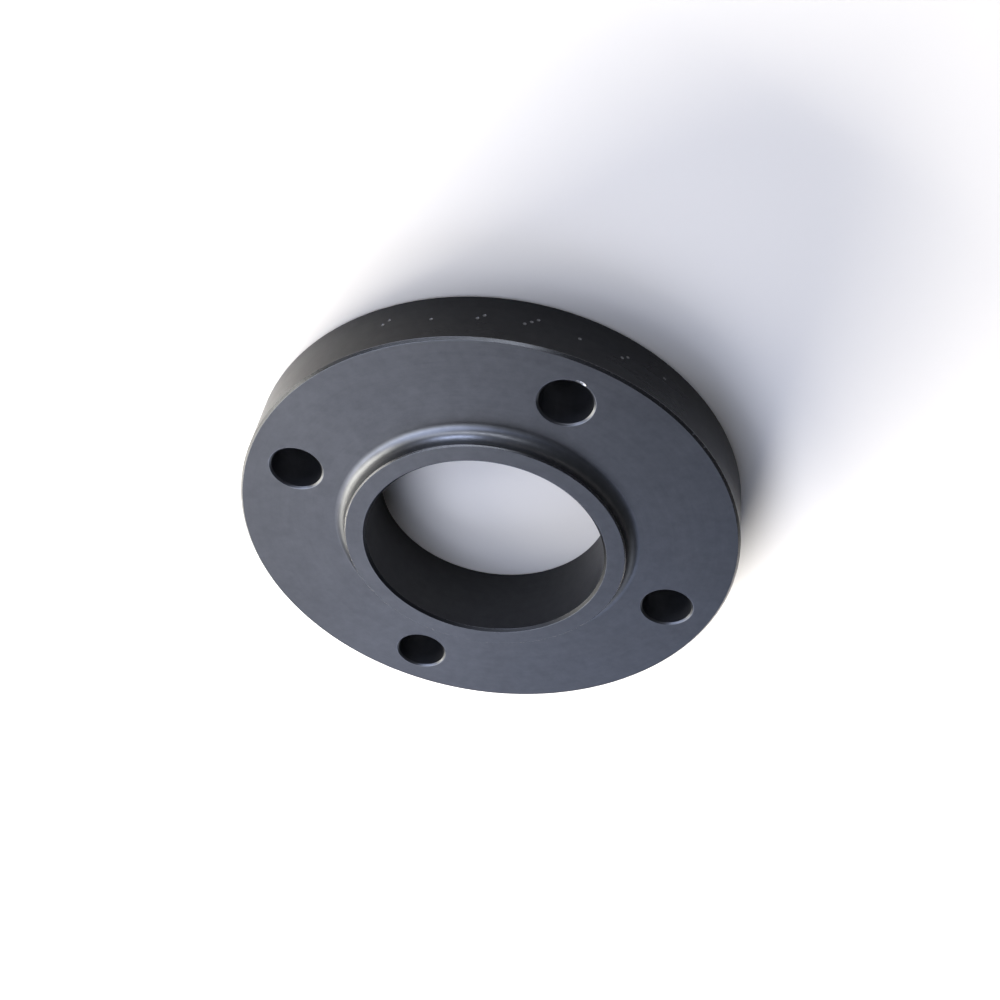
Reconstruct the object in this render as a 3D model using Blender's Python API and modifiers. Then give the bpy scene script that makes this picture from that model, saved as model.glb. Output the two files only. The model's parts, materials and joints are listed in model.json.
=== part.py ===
"""Slip-on pipe flange, NPS 3 class 150 with a flat face: one steel forging, turned and drilled.

Metres, +Z up. The origin is the centre of the gasket face, and the bore runs along +Z towards the hub.
The forging is a real single piece, so the model holds one object: a turned ring less its bolt holes.
"""

import math

import bpy

# Driving dimensions, metres
OUTER_DIAMETER = 0.1905
PLATE_THICKNESS = 0.0244  # from the gasket face to the nut face
LENGTH_THROUGH_HUB = 0.0308  # from the gasket face to the hub end
HUB_DIAMETER = 0.1070
HUB_FILLET_RADIUS = 0.0050
BORE_DIAMETER = 0.0907
BOLT_CIRCLE_DIAMETER = 0.1524
BOLT_HOLE_DIAMETER = 0.01905
BOLT_HOLE_COUNT = 4

# Broken edges, metres: the leg of each 45 degree chamfer
RIM_CHAMFER = 0.0009
HUB_CHAMFER = 0.0005
BORE_HUB_CHAMFER = 0.0010
BORE_GASKET_CHAMFER = 0.0003
BOLT_HOLE_CHAMFER = 0.0007

# Facets
RING_STEPS = 144
HOLE_STEPS = 48
FILLET_STEPS = 8
CUTTER_OVERRUN = 0.004  # how far a cutter stands past the face that it opens
MERGE_DISTANCE = 0.00001

# Finish: thin, semi-matt black protective coat on machined carbon steel
COAT_COLOUR = (0.050, 0.053, 0.068, 1.0)
COAT_ROUGHNESS = 0.42
COAT_METALLIC = 0.6


def clear_scene():
    for obj in list(bpy.data.objects):
        bpy.data.objects.remove(obj, do_unlink=True)


def new_collection(name):
    collection = bpy.data.collections.new(name)
    bpy.context.scene.collection.children.link(collection)
    return collection


def coat_material():
    material = bpy.data.materials.new("black_coated_steel")
    material.use_nodes = True
    shader = material.node_tree.nodes["Principled BSDF"]
    shader.inputs["Base Color"].default_value = COAT_COLOUR
    shader.inputs["Roughness"].default_value = COAT_ROUGHNESS
    shader.inputs["Metallic"].default_value = COAT_METALLIC
    material.diffuse_color = COAT_COLOUR
    return material


def hub_fillet():
    """The concave quarter arc from the hub's wall down and out to the plate, as (radius, height) points."""
    centre_r = HUB_DIAMETER / 2 + HUB_FILLET_RADIUS
    centre_z = PLATE_THICKNESS + HUB_FILLET_RADIUS
    points = []
    for step in range(FILLET_STEPS + 1):
        angle = math.pi + (math.pi / 2) * step / FILLET_STEPS
        radius = centre_r + HUB_FILLET_RADIUS * math.cos(angle)
        height = centre_z + HUB_FILLET_RADIUS * math.sin(angle)
        points.append((radius, height))
    return points


def flange_profile():
    """The ring's closed section at +X, as (radius, height): down the outside, inwards, and up the bore."""
    outer = OUTER_DIAMETER / 2
    bore = BORE_DIAMETER / 2
    hub = HUB_DIAMETER / 2

    hub_edge = [(hub - HUB_CHAMFER, LENGTH_THROUGH_HUB), (hub, LENGTH_THROUGH_HUB - HUB_CHAMFER)]
    rim = [
        (outer - RIM_CHAMFER, PLATE_THICKNESS),
        (outer, PLATE_THICKNESS - RIM_CHAMFER),
        (outer, RIM_CHAMFER),
        (outer - RIM_CHAMFER, 0.0),
    ]
    bore_wall = [
        (bore + BORE_GASKET_CHAMFER, 0.0),
        (bore, BORE_GASKET_CHAMFER),
        (bore, LENGTH_THROUGH_HUB - BORE_HUB_CHAMFER),
        (bore + BORE_HUB_CHAMFER, LENGTH_THROUGH_HUB),
    ]
    return hub_edge + hub_fillet() + rim + bore_wall


def bolt_hole_profile():
    """The cutter's section at +X, downwards: the hole, with a 45 degree flare through each face."""
    radius = BOLT_HOLE_DIAMETER / 2
    flare = radius + BOLT_HOLE_CHAMFER + CUTTER_OVERRUN
    top = PLATE_THICKNESS + CUTTER_OVERRUN
    bottom = -CUTTER_OVERRUN
    return [
        (0.0, top),
        (flare, top),
        (radius, PLATE_THICKNESS - BOLT_HOLE_CHAMFER),
        (radius, BOLT_HOLE_CHAMFER),
        (flare, bottom),
        (0.0, bottom),
    ]


def turned(name, profile, steps, closed, collection):
    """An object that is the profile turned about +Z."""
    edges = [(i, i + 1) for i in range(len(profile) - 1)]
    if closed:
        edges.append((len(profile) - 1, 0))
    mesh = bpy.data.meshes.new(name)
    mesh.from_pydata([(radius, 0.0, height) for radius, height in profile], edges, [])
    obj = bpy.data.objects.new(name, mesh)
    collection.objects.link(obj)
    screw = obj.modifiers.new("turn", "SCREW")
    screw.axis = "Z"
    screw.angle = 2 * math.pi
    screw.steps = steps
    screw.render_steps = steps
    screw.use_merge_vertices = True
    screw.merge_threshold = MERGE_DISTANCE
    screw.use_smooth_shade = False
    return obj


def bolt_hole_cutters(collection):
    """One cutter for each bolt hole, evenly spaced and straddling the X and Y centre lines."""
    first = turned("bolt_hole_cutter_1", bolt_hole_profile(), HOLE_STEPS, False, collection)
    cutters = [first]
    for index in range(1, BOLT_HOLE_COUNT):
        copy = first.copy()
        copy.name = f"bolt_hole_cutter_{index + 1}"
        collection.objects.link(copy)
        cutters.append(copy)
    pitch = 2 * math.pi / BOLT_HOLE_COUNT
    for index, cutter in enumerate(cutters):
        angle = pitch * (index + 0.5)
        cutter.location = (
            BOLT_CIRCLE_DIAMETER / 2 * math.cos(angle),
            BOLT_CIRCLE_DIAMETER / 2 * math.sin(angle),
            0.0,
        )
        cutter.hide_render = True
        cutter.display_type = "WIRE"
    return cutters


def build():
    clear_scene()
    parts = new_collection("slip_on_flange")
    helpers = new_collection("cutters")
    forging = turned("flange_forging", flange_profile(), RING_STEPS, True, parts)
    forging.data.materials.append(coat_material())
    for cutter in bolt_hole_cutters(helpers):
        drill = forging.modifiers.new(f"drill_{cutter.name}", "BOOLEAN")
        drill.operation = "DIFFERENCE"
        drill.solver = "EXACT"
        drill.object = cutter


build()
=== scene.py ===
"""The finished look of the slip-on pipe flange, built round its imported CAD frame.

Metres, +Z up, in the frame's own axes: the gasket face lies at Z = 0, just above the floor, and the hub
points up.
The CAD forging is replaced by one finer turned mesh with rounded edges, a grooved gasket face, eased
bolt holes and a few handling marks, under a thin black lacquer that still shows the turning marks.
"""

import json
import math
import random

import bmesh
import bpy
from mathutils import Matrix, Quaternion, Vector


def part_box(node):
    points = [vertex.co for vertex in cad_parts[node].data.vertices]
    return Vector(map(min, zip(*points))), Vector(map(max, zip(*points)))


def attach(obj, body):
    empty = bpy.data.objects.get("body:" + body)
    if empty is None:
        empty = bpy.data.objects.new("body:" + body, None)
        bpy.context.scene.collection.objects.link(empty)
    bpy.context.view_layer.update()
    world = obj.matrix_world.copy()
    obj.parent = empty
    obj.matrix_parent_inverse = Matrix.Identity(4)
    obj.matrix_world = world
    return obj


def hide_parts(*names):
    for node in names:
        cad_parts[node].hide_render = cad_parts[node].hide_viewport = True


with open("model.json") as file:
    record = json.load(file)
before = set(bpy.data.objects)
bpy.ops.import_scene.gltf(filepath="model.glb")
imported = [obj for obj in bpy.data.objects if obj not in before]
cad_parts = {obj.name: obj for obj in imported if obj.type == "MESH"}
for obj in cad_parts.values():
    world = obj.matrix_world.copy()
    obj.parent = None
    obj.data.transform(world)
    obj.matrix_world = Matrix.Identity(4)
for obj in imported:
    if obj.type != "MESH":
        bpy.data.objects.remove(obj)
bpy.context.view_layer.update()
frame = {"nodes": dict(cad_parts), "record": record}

CAD_NODE = "flange_forging"
MM = 0.001

# Edges and finish of the turned mesh
HUB_FILLET = 5.0 * MM
RIM_BREAK = 0.9 * MM
HUB_BREAK = 0.5 * MM
BORE_BREAK_HUB = 1.0 * MM
BORE_BREAK_GASKET = 0.3 * MM
HOLE_BREAK = 0.7 * MM
HOLE_EASE = 0.25 * MM  # how far the broken edge's easing runs on to the face and the wall
EDGE_ROUND = 0.18 * MM
GROOVE_PITCH = 0.8 * MM  # the tool's feed for each turn on a gasket face of stock finish
GROOVE_NOSE = 1.6 * MM  # radius of the tool's round nose, which sets the depth of each groove
GROOVE_MARGIN = 1.6 * MM  # plain border outside and inside the grooves
GROOVE_SHARES = (0.0, 0.32, 0.68)  # points across one groove, as shares of its width

# A row of generic punch dots along the rim, in groups without meaning. Angles are in degrees from +X
PUNCH_START = -153.0
PUNCH_GROUPS = (1, 2, 1, 3, 2, 1, 2)  # dots in each group
PUNCH_SPACING = 10.3
PUNCH_DOT_SPACING = 1.3
PUNCH_HEIGHT = 0.47  # share of the rim's height
PUNCH_STAGGER = 0.07  # the same share, up or down from there
PUNCH_BALL = 1.1 * MM  # radius of the punch's round tip
PUNCH_DEPTH = 0.22 * MM

# One flake missing from the edge of a bolt hole
CHIP_HOLE = 2  # index of the hole
CHIP_DIRECTION = 219.0  # degrees from +X round the hole's centre
CHIP_REACH = 0.9  # how far across the broken edge the flake is centred, as a share of its width
CHIP_SIZE = (1.0 * MM, 2.1 * MM, 0.8 * MM)  # half-size outwards, along the edge and downwards

# Small dents in the outer edges. Each half-size is drawn from between its two values
DING_COUNT = 9
DING_SEED = 7
DING_UPPER_SHARE = 0.6  # the others are in the edge of the gasket side
DING_LENGTH = (0.4 * MM, 1.1 * MM)
DING_DEPTH = (0.25 * MM, 0.45 * MM)

# Facets
RING_STEPS = 360
HOLE_STEPS = 96
BALL_SEGMENTS = 20
BALL_RINGS = 12
ARC_STEP = math.radians(9)
SMOOTH_LIMIT = math.radians(25)  # a sharper turn between two faces shows as an edge
CUTTER_OVERRUN = 3.0 * MM
TOLERANCE = 0.1 * MM  # slack for picking CAD vertices by their height


# ---------------------------------------------------------------------------
# Sizes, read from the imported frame
# ---------------------------------------------------------------------------

def mount_position(name):
    for mount in frame["record"]["mounts"]:
        if mount["name"] == name:
            return Vector(mount["pos_m"])
    raise ValueError(f"the record has no mount named {name}")


def bolt_hole_centres():
    centres = []
    for opening in frame["record"]["physics"]["openings"]:
        if opening["name"].startswith("bolt_hole"):
            low, high = opening["box_m"]
            centres.append(((low[0] + high[0]) / 2, (low[1] + high[1]) / 2))
    return centres


def cad_vertices():
    return [vertex.co.copy() for vertex in frame["nodes"][CAD_NODE].data.vertices]


def radius_of(point):
    return math.hypot(point.x, point.y)


CAD_POINTS = cad_vertices()
CAD_LOW, CAD_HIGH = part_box(CAD_NODE)
HOLE_CENTRES = bolt_hole_centres()

OUTER = CAD_HIGH.x
HUB_END = mount_position("hub_end").z
PLATE_TOP = mount_position("nut_face").z
BORE = min(radius_of(point) for point in CAD_POINTS)
HUB = max(radius_of(point) for point in CAD_POINTS if point.z > HUB_END - HUB_BREAK - TOLERANCE)
GASKET_FACE = CAD_LOW.z


def hole_radius():
    """The distance from the first bolt hole's centre line to the nearest CAD vertex, on the hole's wall."""
    centre_x, centre_y = HOLE_CENTRES[0]
    return min(math.hypot(point.x - centre_x, point.y - centre_y) for point in CAD_POINTS)


HOLE = hole_radius()


# ---------------------------------------------------------------------------
# The turned mesh
# ---------------------------------------------------------------------------

# Zones of the surface. A face's material index is its zone's place in this list
ZONES = [
    "nut_face", "hub_fillet", "hub_end", "rim", "gasket_face", "bore", "bore_edge",
    "edge", "hole_edge", "bolt_hole", "chip",
]


def new_object(name, data):
    obj = bpy.data.objects.new(name, data)
    bpy.context.scene.collection.objects.link(obj)
    return obj


def object_from(bm, name):
    """A scene object that holds the mesh built so far."""
    mesh = bpy.data.meshes.new(name)
    bm.to_mesh(mesh)
    bm.free()
    return new_object(name, mesh)


def rounded_corner(before, corner, after, radius):
    """Points of an arc of that radius, tangent to both legs of the corner."""
    leg_in = (before - corner).normalized()
    leg_out = (after - corner).normalized()
    turn = math.pi - leg_in.angle(leg_out)
    reach = radius * math.tan(turn / 2)
    centre = corner + (leg_in + leg_out).normalized() * (radius / math.cos(turn / 2))
    start = corner + leg_in * reach - centre
    end = corner + leg_out * reach - centre
    steps = max(2, math.ceil(turn / ARC_STEP))
    sweep = math.atan2(start.x * end.y - start.y * end.x, start.dot(end))
    points = []
    for step in range(steps + 1):
        angle = sweep * step / steps
        points.append(centre + Matrix.Rotation(angle, 2) @ start)
    return points


def serrations():
    """The shallow round-bottomed grooves of the gasket face, from the outside in."""
    first = OUTER - RIM_BREAK - GROOVE_MARGIN
    last = BORE + BORE_BREAK_GASKET + GROOVE_MARGIN
    count = int((first - last) / GROOVE_PITCH)
    depth = GROOVE_NOSE - math.sqrt(GROOVE_NOSE ** 2 - (GROOVE_PITCH / 2) ** 2)
    points = []
    for index in range(count):
        crest = first - index * GROOVE_PITCH
        for share in GROOVE_SHARES:
            from_middle = (share - 0.5) * GROOVE_PITCH
            rise = GROOVE_NOSE - math.sqrt(GROOVE_NOSE ** 2 - from_middle ** 2)
            points.append(Vector((crest - share * GROOVE_PITCH, GASKET_FACE + depth - rise)))
    points.append(Vector((first - count * GROOVE_PITCH, GASKET_FACE)))
    return points


def section():
    """The ring's closed section as (radius, height) points, and the zone of the surface after each."""
    corners = [
        # radius, height, corner radius, zone of the flat that follows
        (HUB - HUB_BREAK, HUB_END, EDGE_ROUND, "edge"),
        (HUB, HUB_END - HUB_BREAK, EDGE_ROUND, "hub_fillet"),
        (HUB, PLATE_TOP, HUB_FILLET, "nut_face"),
        (OUTER - RIM_BREAK, PLATE_TOP, EDGE_ROUND, "edge"),
        (OUTER, PLATE_TOP - RIM_BREAK, EDGE_ROUND, "rim"),
        (OUTER, GASKET_FACE + RIM_BREAK, EDGE_ROUND, "edge"),
        (OUTER - RIM_BREAK, GASKET_FACE, EDGE_ROUND, "gasket_face"),
        (BORE + BORE_BREAK_GASKET, GASKET_FACE, EDGE_ROUND, "edge"),
        (BORE, GASKET_FACE + BORE_BREAK_GASKET, EDGE_ROUND, "bore"),
        (BORE, HUB_END - BORE_BREAK_HUB, EDGE_ROUND, "bore_edge"),
        (BORE + BORE_BREAK_HUB, HUB_END, EDGE_ROUND, "hub_end"),
    ]
    points = []
    zones = []
    count = len(corners)
    for index, (radius, height, corner_radius, zone) in enumerate(corners):
        before = Vector(corners[index - 1][:2])
        after = Vector(corners[(index + 1) % count][:2])
        arc = rounded_corner(before, Vector((radius, height)), after, corner_radius)
        arc_zone = "hub_fillet" if corner_radius == HUB_FILLET else "edge"
        points += arc
        zones += [arc_zone] * (len(arc) - 1) + [zone]
        if zone == "gasket_face":
            grooves = serrations()
            points += grooves
            zones += [zone] * len(grooves)
    return points, zones


def turned_ring():
    """The section swept round Z, as a closed mesh whose faces know their zone."""
    points, zones = section()
    bm = bmesh.new()
    rings = []
    for step in range(RING_STEPS):
        angle = 2 * math.pi * step / RING_STEPS
        cos, sin = math.cos(angle), math.sin(angle)
        rings.append([bm.verts.new((p.x * cos, p.x * sin, p.y)) for p in points])
    for step, ring in enumerate(rings):
        following = rings[(step + 1) % RING_STEPS]
        for index, zone in enumerate(zones):
            other = (index + 1) % len(points)
            face = bm.faces.new((ring[index], ring[other], following[other], following[index]))
            face.material_index = ZONES.index(zone)
            face.smooth = True
    bmesh.ops.recalc_face_normals(bm, faces=bm.faces)
    return object_from(bm, "flange_body")


def hole_section():
    """The drill's outline from above the nut face to below the gasket side, with a broken, eased edge."""
    slope = math.tan(math.radians(45) / 2)  # the eased flats lean halfway to the 45 degree break
    half = [
        # radius, height above the face
        (HOLE + HOLE_BREAK + HOLE_EASE + CUTTER_OVERRUN / slope, CUTTER_OVERRUN),
        (HOLE + HOLE_BREAK, -HOLE_EASE * slope),
        (HOLE + HOLE_EASE * slope, -HOLE_BREAK + HOLE_EASE * slope),
        (HOLE, -HOLE_BREAK - HOLE_EASE),
    ]
    top = [(radius, PLATE_TOP + height) for radius, height in half]
    bottom = [(radius, GASKET_FACE - height) for radius, height in reversed(half)]
    return top + bottom


def drill(centre):
    """A closed cutter for one bolt hole."""
    bm = bmesh.new()
    rings = []
    for radius, height in hole_section():
        ring = []
        for step in range(HOLE_STEPS):
            angle = 2 * math.pi * step / HOLE_STEPS
            position = (centre[0] + radius * math.cos(angle), centre[1] + radius * math.sin(angle), height)
            ring.append(bm.verts.new(position))
        rings.append(ring)
    wall = len(rings) // 2 - 1
    for level in range(len(rings) - 1):
        for step in range(HOLE_STEPS):
            after = (step + 1) % HOLE_STEPS
            upper, lower = rings[level], rings[level + 1]
            face = bm.faces.new((upper[step], lower[step], lower[after], upper[after]))
            face.material_index = ZONES.index("bolt_hole" if level == wall else "hole_edge")
            face.smooth = True
    bm.faces.new(rings[0])
    bm.faces.new(list(reversed(rings[-1])))
    bmesh.ops.recalc_face_normals(bm, faces=bm.faces)
    return object_from(bm, "drill")


def ball(bm, centre, size, turn, zone):
    """Adds an ellipsoid with that half-size, turned about Z, to the cutter mesh."""
    place = Matrix.Translation(centre) @ Matrix.Rotation(turn, 4, "Z") @ Matrix.Diagonal((*size, 1.0))
    made = bmesh.ops.create_uvsphere(
        bm, u_segments=BALL_SEGMENTS, v_segments=BALL_RINGS, radius=1.0, matrix=place)
    for face in {face for vert in made["verts"] for face in vert.link_faces}:
        face.material_index = ZONES.index(zone)
        face.smooth = True


def on_rim(angle, height, radius):
    return Vector((radius * math.cos(angle), radius * math.sin(angle), height))


def punch_dots(bm):
    """Shallow round dots in groups along the middle of the rim."""
    for group, dots in enumerate(PUNCH_GROUPS):
        for dot in range(dots):
            across = group * PUNCH_SPACING + (dot - (dots - 1) / 2) * PUNCH_DOT_SPACING
            angle = math.radians(PUNCH_START + across)
            height = PLATE_TOP * (PUNCH_HEIGHT + PUNCH_STAGGER * ((group + dot) % 3 - 1))
            centre = on_rim(angle, height, OUTER + PUNCH_BALL - PUNCH_DEPTH)
            ball(bm, centre, (PUNCH_BALL, PUNCH_BALL, PUNCH_BALL), angle, "hole_edge")


def chipped_hole_edge(bm):
    """One flake missing from the broken edge of a bolt hole."""
    centre_x, centre_y = HOLE_CENTRES[CHIP_HOLE]
    angle = math.radians(CHIP_DIRECTION)
    reach = HOLE + HOLE_BREAK * CHIP_REACH
    centre = Vector((centre_x + reach * math.cos(angle), centre_y + reach * math.sin(angle), PLATE_TOP))
    ball(bm, centre, CHIP_SIZE, angle, "chip")


def rim_dings(bm):
    """Small dents where the flange's outer edges were knocked."""
    draw = random.Random(DING_SEED)
    for _ in range(DING_COUNT):
        angle = draw.uniform(0.0, 2 * math.pi)
        upper = draw.random() < DING_UPPER_SHARE
        length = draw.uniform(*DING_LENGTH)
        depth = draw.uniform(*DING_DEPTH)
        height = PLATE_TOP - RIM_BREAK / 2 if upper else GASKET_FACE + RIM_BREAK / 2
        centre = on_rim(angle, height, OUTER - RIM_BREAK / 2 + depth / 2)
        ball(bm, centre, (depth, length, depth), angle, "edge")


def handling_marks():
    """One cutter that holds every punch dot, chip and dent."""
    bm = bmesh.new()
    punch_dots(bm)
    chipped_hole_edge(bm)
    rim_dings(bm)
    return object_from(bm, "handling_marks")


def apply_modifiers(obj):
    graph = bpy.context.evaluated_depsgraph_get()
    mesh = bpy.data.meshes.new_from_object(obj.evaluated_get(graph))
    obj.modifiers.clear()
    obj.data = mesh


def cut_away(obj, cutter):
    """Takes the cutter out of the object. Both list the same materials, so cut faces keep their zone."""
    cut = obj.modifiers.new("cut", "BOOLEAN")
    cut.operation = "DIFFERENCE"
    cut.solver = "EXACT"
    cut.object = cutter
    apply_modifiers(obj)
    bpy.data.objects.remove(cutter)


def flange_body(materials):
    """The turned ring less its bolt holes and marks, shaded so that its flat faces stay flat."""
    body = turned_ring()
    for material in materials:
        body.data.materials.append(material)
    cutters = [drill(centre) for centre in HOLE_CENTRES] + [handling_marks()]
    for cutter in cutters:
        for material in materials:
            cutter.data.materials.append(material)
        cut_away(body, cutter)
    body.data.set_sharp_from_angle(angle=SMOOTH_LIMIT)
    normals = body.modifiers.new("flat_faces_lead", "WEIGHTED_NORMAL")
    normals.mode = "FACE_AREA"
    normals.keep_sharp = True
    apply_modifiers(body)
    return body


# ---------------------------------------------------------------------------
# Materials
# ---------------------------------------------------------------------------

class Nodes:
    """Short calls for building a node tree."""

    def __init__(self, material):
        material.use_nodes = True
        self.tree = material.node_tree
        self.shader = self.tree.nodes["Principled BSDF"]

    def add(self, kind, **settings):
        node = self.tree.nodes.new(kind)
        for name, value in settings.items():
            setattr(node, name, value)
        return node

    def link(self, source, target):
        self.tree.links.new(source, target)

    def fill(self, node, values):
        for key, value in values.items():
            if isinstance(value, bpy.types.NodeSocket):
                self.link(value, node.inputs[key])
            else:
                node.inputs[key].default_value = value

    def math(self, operation, *values):
        node = self.add("ShaderNodeMath", operation=operation)
        self.fill(node, dict(enumerate(values)))
        return node.outputs[0]

    def vector(self, operation, *values):
        node = self.add("ShaderNodeVectorMath", operation=operation)
        self.fill(node, dict(enumerate(values)))
        return node.outputs["Value" if operation == "LENGTH" else "Vector"]

    def combine(self, x, y, z):
        node = self.add("ShaderNodeCombineXYZ")
        self.fill(node, {0: x, 1: y, 2: z})
        return node.outputs[0]

    def noise(self, vector, scale, detail, rough):
        node = self.add("ShaderNodeTexNoise")
        self.fill(node, {"Vector": vector, "Scale": scale, "Detail": detail, "Roughness": rough})
        return node.outputs["Fac"]

    def ramp(self, value, low, high, to_low=0.0, to_high=1.0):
        node = self.add("ShaderNodeMapRange")
        limits = {"From Min": low, "From Max": high, "To Min": to_low, "To Max": to_high}
        self.fill(node, {"Value": value, **limits})
        return node.outputs["Result"]

    def spread(self, noise, to_low=0.0, to_high=1.0):
        """Spreads the range that most of a noise lies in over the given one."""
        return self.ramp(noise, *NOISE_RANGE, to_low, to_high)

    def weighted_sum(self, terms):
        """The sum of the (weight, value) pairs."""
        total = None
        for weight, value in terms:
            part = self.math("MULTIPLY", value, weight)
            total = part if total is None else self.math("ADD", total, part)
        return total

    def drawn_out(self, feed, turn, scales, third=0.0):
        """Noise that is fine along the tool's feed and long round the ring."""
        across = self.math("MULTIPLY", feed, scales[0])
        along = self.math("MULTIPLY", turn, scales[1])
        return self.noise(self.combine(across, along, third), *DRAWN_OUT_NOISE)

    def bump(self, height, strength, distance):
        node = self.add("ShaderNodeBump")
        self.fill(node, {"Height": height, "Strength": strength, "Distance": distance})
        return node.outputs["Normal"]

    def mix(self, share, first, second):
        node = self.add("ShaderNodeMix", data_type="RGBA")
        self.fill(node, {0: share, 6: first, 7: second})
        return node.outputs[2]


COAT_DARK = (0.0050, 0.0050, 0.0056)
COAT_LIGHT = (0.0110, 0.0110, 0.0125)
WORN_STEEL = (0.20, 0.19, 0.18, 1.0)
BRIGHT_STEEL = (0.62, 0.60, 0.56, 1.0)
COAT_IOR = 1.65
COAT_ROUGHNESS = 0.40
COAT_BUMP = (0.25, 0.02 * MM)  # strength, distance
CLOUD_ROUGHNESS = 0.03  # how far the clouds raise and lower the roughness
BAND_ROUGHNESS = 0.02
BAND_SPECULAR = (0.44, 0.50)  # the specular level over the broad bands
MOTTLE_SPECULAR = (-0.02, 0.08)  # what the mottling adds to it
BRIGHT_ROUGHNESS = 0.32
WORN_ROUGHNESS = 0.55
CHIP_METALLIC = 0.9
CHIP_BUMP = (0.4, 0.05 * MM)
REMAINS_RANGE = (0.50, 0.62)  # where in the flake noise the remains of the coat begin and are whole

# Noise patterns, as scale, detail and roughness. Scales are in cycles for each metre
NOISE_RANGE = (0.3, 0.7)  # where most of a noise's values lie
BANDS = (1400.0, 5.0, 0.65)
CLOUDS = (38.0, 4.0, 0.55)
MOTTLE = (230.0, 4.0, 0.65)
GRAIN = (2200.0, 2.0, 0.5)
FLAKES = (1500.0, 4.0, 0.6)
PITS = (2600.0, 3.0, 0.5)

# Noise drawn out round the ring. Both patterns have cycles for each metre of feed and radian of turn
DRAWN_OUT_NOISE = (1.0, 4.0, 0.6)
ARCS = (2600.0, 3.0)
BROAD_BANDS = (420.0, 1.6)


def reflectance(ior):
    """The share of light that a surface of that index mirrors face-on."""
    return ((ior - 1) / (ior + 1)) ** 2


def coated_steel(
    name, across, pitch, roughness=COAT_ROUGHNESS, mark_depth=1.0, ior=COAT_IOR, tone=1.0, fade=0.0,
):
    """Thin black lacquer over turned steel. The turning marks run round the ring.

    across is the direction that the tool fed in, r or z, and pitch is its feed for each turn. tone scales
    the coat's colour. Within the height fade above the nut face, the gloss rises from that face's.
    """
    material = bpy.data.materials.new(name)
    nodes = Nodes(material)
    place = nodes.add("ShaderNodeTexCoord").outputs["Object"]
    split = nodes.add("ShaderNodeSeparateXYZ")
    nodes.link(place, split.inputs[0])
    x, y, z = split.outputs
    radius = nodes.vector("LENGTH", nodes.vector("MULTIPLY", place, (1.0, 1.0, 0.0)))
    turn = nodes.math("ARCTAN2", y, x)
    feed = radius if across == "r" else z

    # Turning marks: even feed lines, uneven bands, and arcs that come and go round the ring
    feed_lines = nodes.math("SINE", nodes.math("MULTIPLY", feed, 2 * math.pi / pitch))
    bands = nodes.noise(nodes.combine(feed, 0.0, 0.0), *BANDS)
    arcs = nodes.drawn_out(feed, turn, ARCS, z)
    broad_bands = nodes.drawn_out(feed, turn, BROAD_BANDS)

    # Lacquer: clouds of thicker and thinner coat, finer mottling, and an orange-peel grain
    clouds = nodes.noise(place, *CLOUDS)
    mottle = nodes.noise(place, *MOTTLE)
    grain = nodes.noise(place, *GRAIN)

    shade = nodes.weighted_sum([(0.6, clouds), (0.4, arcs)])
    dark, light = ([part * tone for part in coat] + [1.0] for coat in (COAT_DARK, COAT_LIGHT))
    colour = nodes.mix(nodes.spread(shade), dark, light)
    rough_clouds = nodes.spread(clouds, roughness - CLOUD_ROUGHNESS, roughness + CLOUD_ROUGHNESS)
    rough_bands = nodes.spread(broad_bands, -BAND_ROUGHNESS, BAND_ROUGHNESS)
    band_level = nodes.spread(broad_bands, *BAND_SPECULAR)
    thin_coat = nodes.math("ADD", band_level, nodes.spread(mottle, *MOTTLE_SPECULAR))
    if fade > 0.0:
        match = reflectance(COAT_IOR) / reflectance(ior)
        rise = nodes.ramp(z, PLATE_TOP, PLATE_TOP + fade, match, 1.0)
        thin_coat = nodes.math("MULTIPLY", thin_coat, rise)
    relief = nodes.weighted_sum([(0.25, feed_lines), (0.8, bands), (0.7, arcs), (0.35, grain)])
    strength, distance = COAT_BUMP

    nodes.fill(nodes.shader, {
        "Base Color": colour,
        "Roughness": nodes.math("ADD", rough_clouds, rough_bands),
        "Specular IOR Level": thin_coat,
        "IOR": ior,
        "Normal": nodes.bump(relief, strength * mark_depth, distance),
    })
    return material


def bare_steel(name):
    """Bright steel where the coat has flaked off, with remains of the coat in it."""
    material = bpy.data.materials.new(name)
    nodes = Nodes(material)
    place = nodes.add("ShaderNodeTexCoord").outputs["Object"]
    remains = nodes.ramp(nodes.noise(place, *FLAKES), *REMAINS_RANGE)
    nodes.fill(nodes.shader, {
        "Base Color": nodes.mix(remains, BRIGHT_STEEL, WORN_STEEL),
        "Roughness": nodes.ramp(remains, 0.0, 1.0, BRIGHT_ROUGHNESS, WORN_ROUGHNESS),
        "Metallic": CHIP_METALLIC,
        "Normal": nodes.bump(nodes.noise(place, *PITS), *CHIP_BUMP),
    })
    return material


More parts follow.
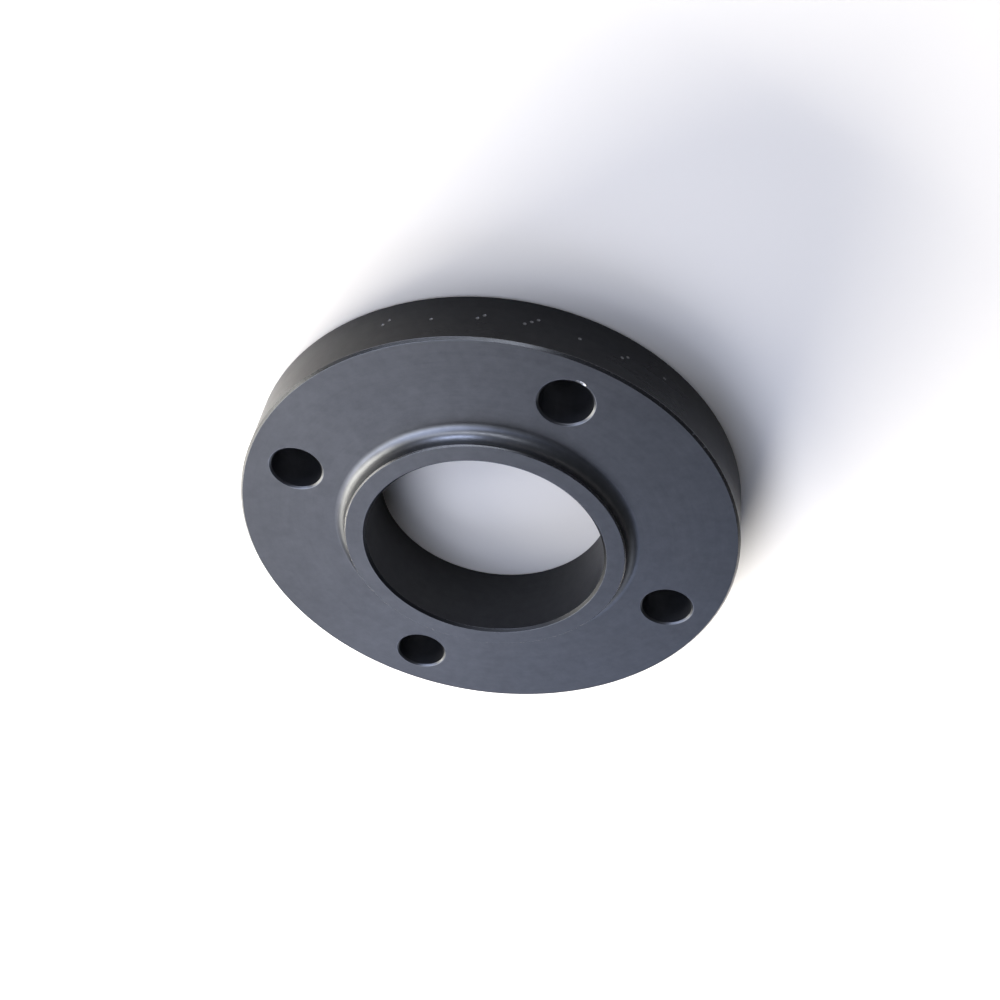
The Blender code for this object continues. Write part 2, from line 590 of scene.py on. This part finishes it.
def flange_materials():
    """One material for each zone, in the order of ZONES."""
    looks = {
        "nut_face": coated_steel("nut_face_coat", "r", 0.32 * MM, mark_depth=1.8),
        "hub_fillet": coated_steel(
            "hub_fillet_coat", "z", 0.30 * MM, roughness=0.34, mark_depth=0.15, ior=2.5, fade=0.35 * MM),
        "hub_end": coated_steel("hub_end_coat", "r", 0.25 * MM),
        # tone 0.5 on the rim is painted shade: the coat colour is halved so the whole rim looks darker
        "rim": coated_steel("rim_coat", "z", 0.45 * MM, roughness=0.30, mark_depth=0.6, ior=1.30, tone=0.5),
        "gasket_face": coated_steel("gasket_face_coat", "r", 0.16 * MM, roughness=0.36, mark_depth=0.6),
        "bore": coated_steel("bore_coat", "z", 0.40 * MM, roughness=0.42, ior=1.42),
        "bore_edge": coated_steel("bore_edge_coat", "z", 0.12 * MM, roughness=0.36, mark_depth=0.6, ior=1.45),
        "edge": coated_steel("edge_coat", "z", 0.12 * MM, roughness=0.26, mark_depth=0.6, ior=2.0),
        "hole_edge": coated_steel("hole_edge_coat", "z", 0.12 * MM, roughness=0.30, mark_depth=0.6, ior=2.2),
        "bolt_hole": coated_steel("bolt_hole_coat", "z", 0.50 * MM, roughness=0.48, mark_depth=1.5, tone=2.0),
        "chip": bare_steel("chipped_steel"),
    }
    return [looks[zone] for zone in ZONES]


# ---------------------------------------------------------------------------
# Floor, light and camera
# ---------------------------------------------------------------------------

FLOOR_RADIUS = 4.0
FLOOR_STEPS = 64
FLOOR_GAP = 0.2 * MM
FLOOR_COLOUR = (0.78, 0.73, 0.66, 1.0)
FLOOR_ROUGHNESS = 0.9
FLOOR_SPECULAR = 0.1


def direction(azimuth, elevation):
    """A unit vector. Azimuth is counted from +X towards +Y, in degrees."""
    a, e = math.radians(azimuth), math.radians(elevation)
    return Vector((math.cos(e) * math.cos(a), math.cos(e) * math.sin(a), math.sin(e)))


def add_floor():
    """A wide round sheet just under the flange."""
    bm = bmesh.new()
    border = [direction(360 * step / FLOOR_STEPS, 0) * FLOOR_RADIUS for step in range(FLOOR_STEPS)]
    bm.faces.new([bm.verts.new(point) for point in border])
    floor = object_from(bm, "floor")
    floor.location.z = GASKET_FACE - FLOOR_GAP
    material = bpy.data.materials.new("pale_floor")
    material.use_nodes = True
    shader = material.node_tree.nodes["Principled BSDF"]
    shader.inputs["Base Color"].default_value = FLOOR_COLOUR
    shader.inputs["Roughness"].default_value = FLOOR_ROUGHNESS
    shader.inputs["Specular IOR Level"].default_value = FLOOR_SPECULAR
    floor.data.materials.append(material)
    return floor


LIGHT_DISTANCE = 1.2
NEUTRAL = (1.0, 0.99, 0.94)
COOL = (0.80, 0.86, 1.0)
SKY = (0.60, 0.70, 1.0)
PALE = (0.86, 0.88, 1.0)

SOFTBOXES = [
    # name, azimuth, elevation, width, height, power, colour
    ("window_low", 2, 10, 1.20, 0.45, 3.6, NEUTRAL),
    ("window", -14, 26, 0.90, 0.45, 6.0, NEUTRAL),
    ("window_top", 14, 60, 0.50, 0.60, 3.6, COOL),
    ("back_panel", 31, 45, 0.90, 0.45, 3.8, PALE),
    ("back_sky", 68, 36, 0.80, 0.60, 2.9, SKY),
    ("back_low", 95, 10, 0.90, 0.50, 0.8, COOL),
    ("front_low", -88, 11, 0.50, 0.32, 4.0, SKY),
    ("front_strip", -92, 42, 1.25, 0.20, 3.6, COOL),
    ("front_top", -40, 63, 0.80, 0.80, 5.8, SKY),
]

# For the floor alone. It whitens the floor, and the rim then mirrors the side that is lit most
FLOOR_WASH = ("floor_wash", 36, 10, 1.30, 0.25, 120.0, NEUTRAL)

WORLD_COLOUR = (0.85, 0.90, 1.0, 1.0)
WORLD_STRENGTH = 0.05


def add_softbox(name, azimuth, elevation, width, height, power, colour):
    """An area lamp at the common distance, turned to face the origin."""
    light = bpy.data.lights.new(name, "AREA")
    light.shape = "RECTANGLE"
    light.size = width
    light.size_y = height
    light.energy = power
    light.color = colour
    lamp = new_object(name, light)
    way = direction(azimuth, elevation)
    lamp.location = way * LIGHT_DISTANCE
    lamp.rotation_euler = way.to_track_quat("Z", "Y").to_euler()
    return lamp


def add_lights(floor):
    for softbox in SOFTBOXES:
        add_softbox(*softbox)
    floor_only = bpy.data.collections.new("floor_only")
    floor_only.objects.link(floor)
    add_softbox(*FLOOR_WASH).light_linking.receiver_collection = floor_only


def add_world():
    world = bpy.data.worlds.new("studio")
    world.use_nodes = True
    background = world.node_tree.nodes["Background"]
    background.inputs["Color"].default_value = WORLD_COLOUR
    background.inputs["Strength"].default_value = WORLD_STRENGTH
    bpy.context.scene.world = world


CAMERA_AZIMUTH = -121.7
CAMERA_ELEVATION = 43.33
CAMERA_DISTANCE = 0.5032
CAMERA_AIM = (-13.6 * MM, -17.9 * MM)  # the point of the nut face's plane in the middle of the picture
CAMERA_ROLL = -168.94
LENS_MM = 47.65
SENSOR_MM = 36.0
CLIP_START = 0.01


def add_camera():
    """The photo's viewpoint. Angle and distance are counted from the middle of the nut face."""
    data = bpy.data.cameras.new("camera")
    data.lens = LENS_MM
    data.sensor_width = SENSOR_MM
    data.clip_start = CLIP_START
    camera = new_object("camera", data)
    centre = Vector((0.0, 0.0, PLATE_TOP))
    camera.location = centre + direction(CAMERA_AZIMUTH, CAMERA_ELEVATION) * CAMERA_DISTANCE
    aim = Vector((*CAMERA_AIM, PLATE_TOP))
    look = (aim - camera.location).to_track_quat("-Z", "Y")
    roll = Quaternion((0.0, 0.0, 1.0), math.radians(CAMERA_ROLL))
    camera.rotation_euler = (look @ roll).to_euler()
    bpy.context.scene.camera = camera


def main():
    body = flange_body(flange_materials())
    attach(body, "root")
    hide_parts(CAD_NODE)
    add_lights(add_floor())
    add_world()
    add_camera()
    bpy.context.scene.view_settings.view_transform = "Standard"


main()
